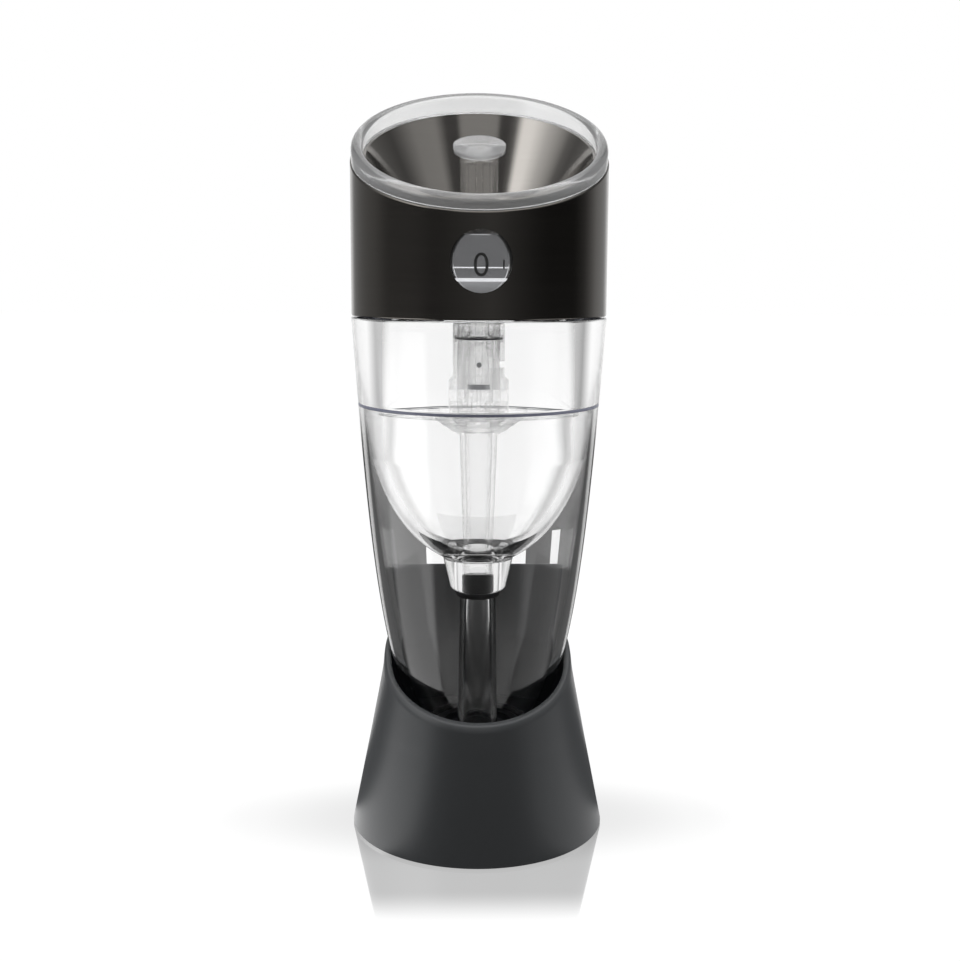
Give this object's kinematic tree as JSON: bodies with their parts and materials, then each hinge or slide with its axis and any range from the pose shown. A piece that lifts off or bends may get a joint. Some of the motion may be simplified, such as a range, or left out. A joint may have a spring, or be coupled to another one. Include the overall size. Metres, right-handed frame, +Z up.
{
  "type": "wine aerator pourer",
  "caption": "Clear tumbler-shaped wine aerator with a slanted mouth, a turning black number band, an inner bowl and a pouring nozzle, standing in a dark cone stand with a scooped rim.",
  "frame": {"origin": "on the table, under the centre of the stand's base", "axes": "+Z up along the pouring axis; -Y to the front, where the number window and the low side of the mouth are; +X to the right seen from the front"},
  "size_m": [0.0586, 0.0586, 0.171],
  "materials": {
    "matte_stand": "fine matte moulded finish, dark grey",
    "black_rubber": "matte",
    "dark_plastic": "matte moulded finish",
    "steel": "bright zinc",
    "clear_acrylic": "clear polished acrylic",
    "seam_silicone": "translucent blue-grey silicone",
    "black_metal": "glossy black plated band",
    "gunmetal": "polished gunmetal",
    "number_plate": "satin silver",
    "black_print": "flat black print"
  },
  "bodies": {
    "stand": {"stand_shell": "matte_stand", "seat_ring": "black_rubber", "drip_cup": "dark_plastic", "base_plate": "dark_plastic", "base_screws": "steel", "foot_ring": "black_rubber"},
    "aerator": {"outer_shell": "clear_acrylic", "mixing_bowl": "clear_acrylic", "seam_gasket": "seam_silicone", "upper_body": "clear_acrylic", "divider_plate": "clear_acrylic", "valve_body": "clear_acrylic", "valve_seal": "black_rubber", "air_ring": "clear_acrylic", "mixing_tube": "clear_acrylic", "nozzle": "clear_acrylic", "nozzle_seal": "black_rubber", "number_ring": "number_plate", "number_marks": "black_print", "glide_ring": "black_rubber"},
    "dial": {"dial_band": "black_metal", "mouth_cup": "clear_acrylic", "funnel_liner": "gunmetal", "drain_tube": "clear_acrylic", "stop_pin": "steel", "air_post": "clear_acrylic", "air_post_cap": "clear_acrylic", "metering_cam": "steel", "window_pane": "clear_acrylic", "retaining_ring": "steel"}
  },
  "joints": [
    {"name": "lift_off", "type": "slide", "parent": "stand", "child": "aerator", "axis": [0, 0, 1], "range_m": [0, 0.06]},
    {"name": "dial_turn", "type": "hinge", "parent": "aerator", "child": "dial", "pos_m": [0, 0, 0.13], "axis": [0, 0, 1], "range_deg": [0, 120]}
  ]
}
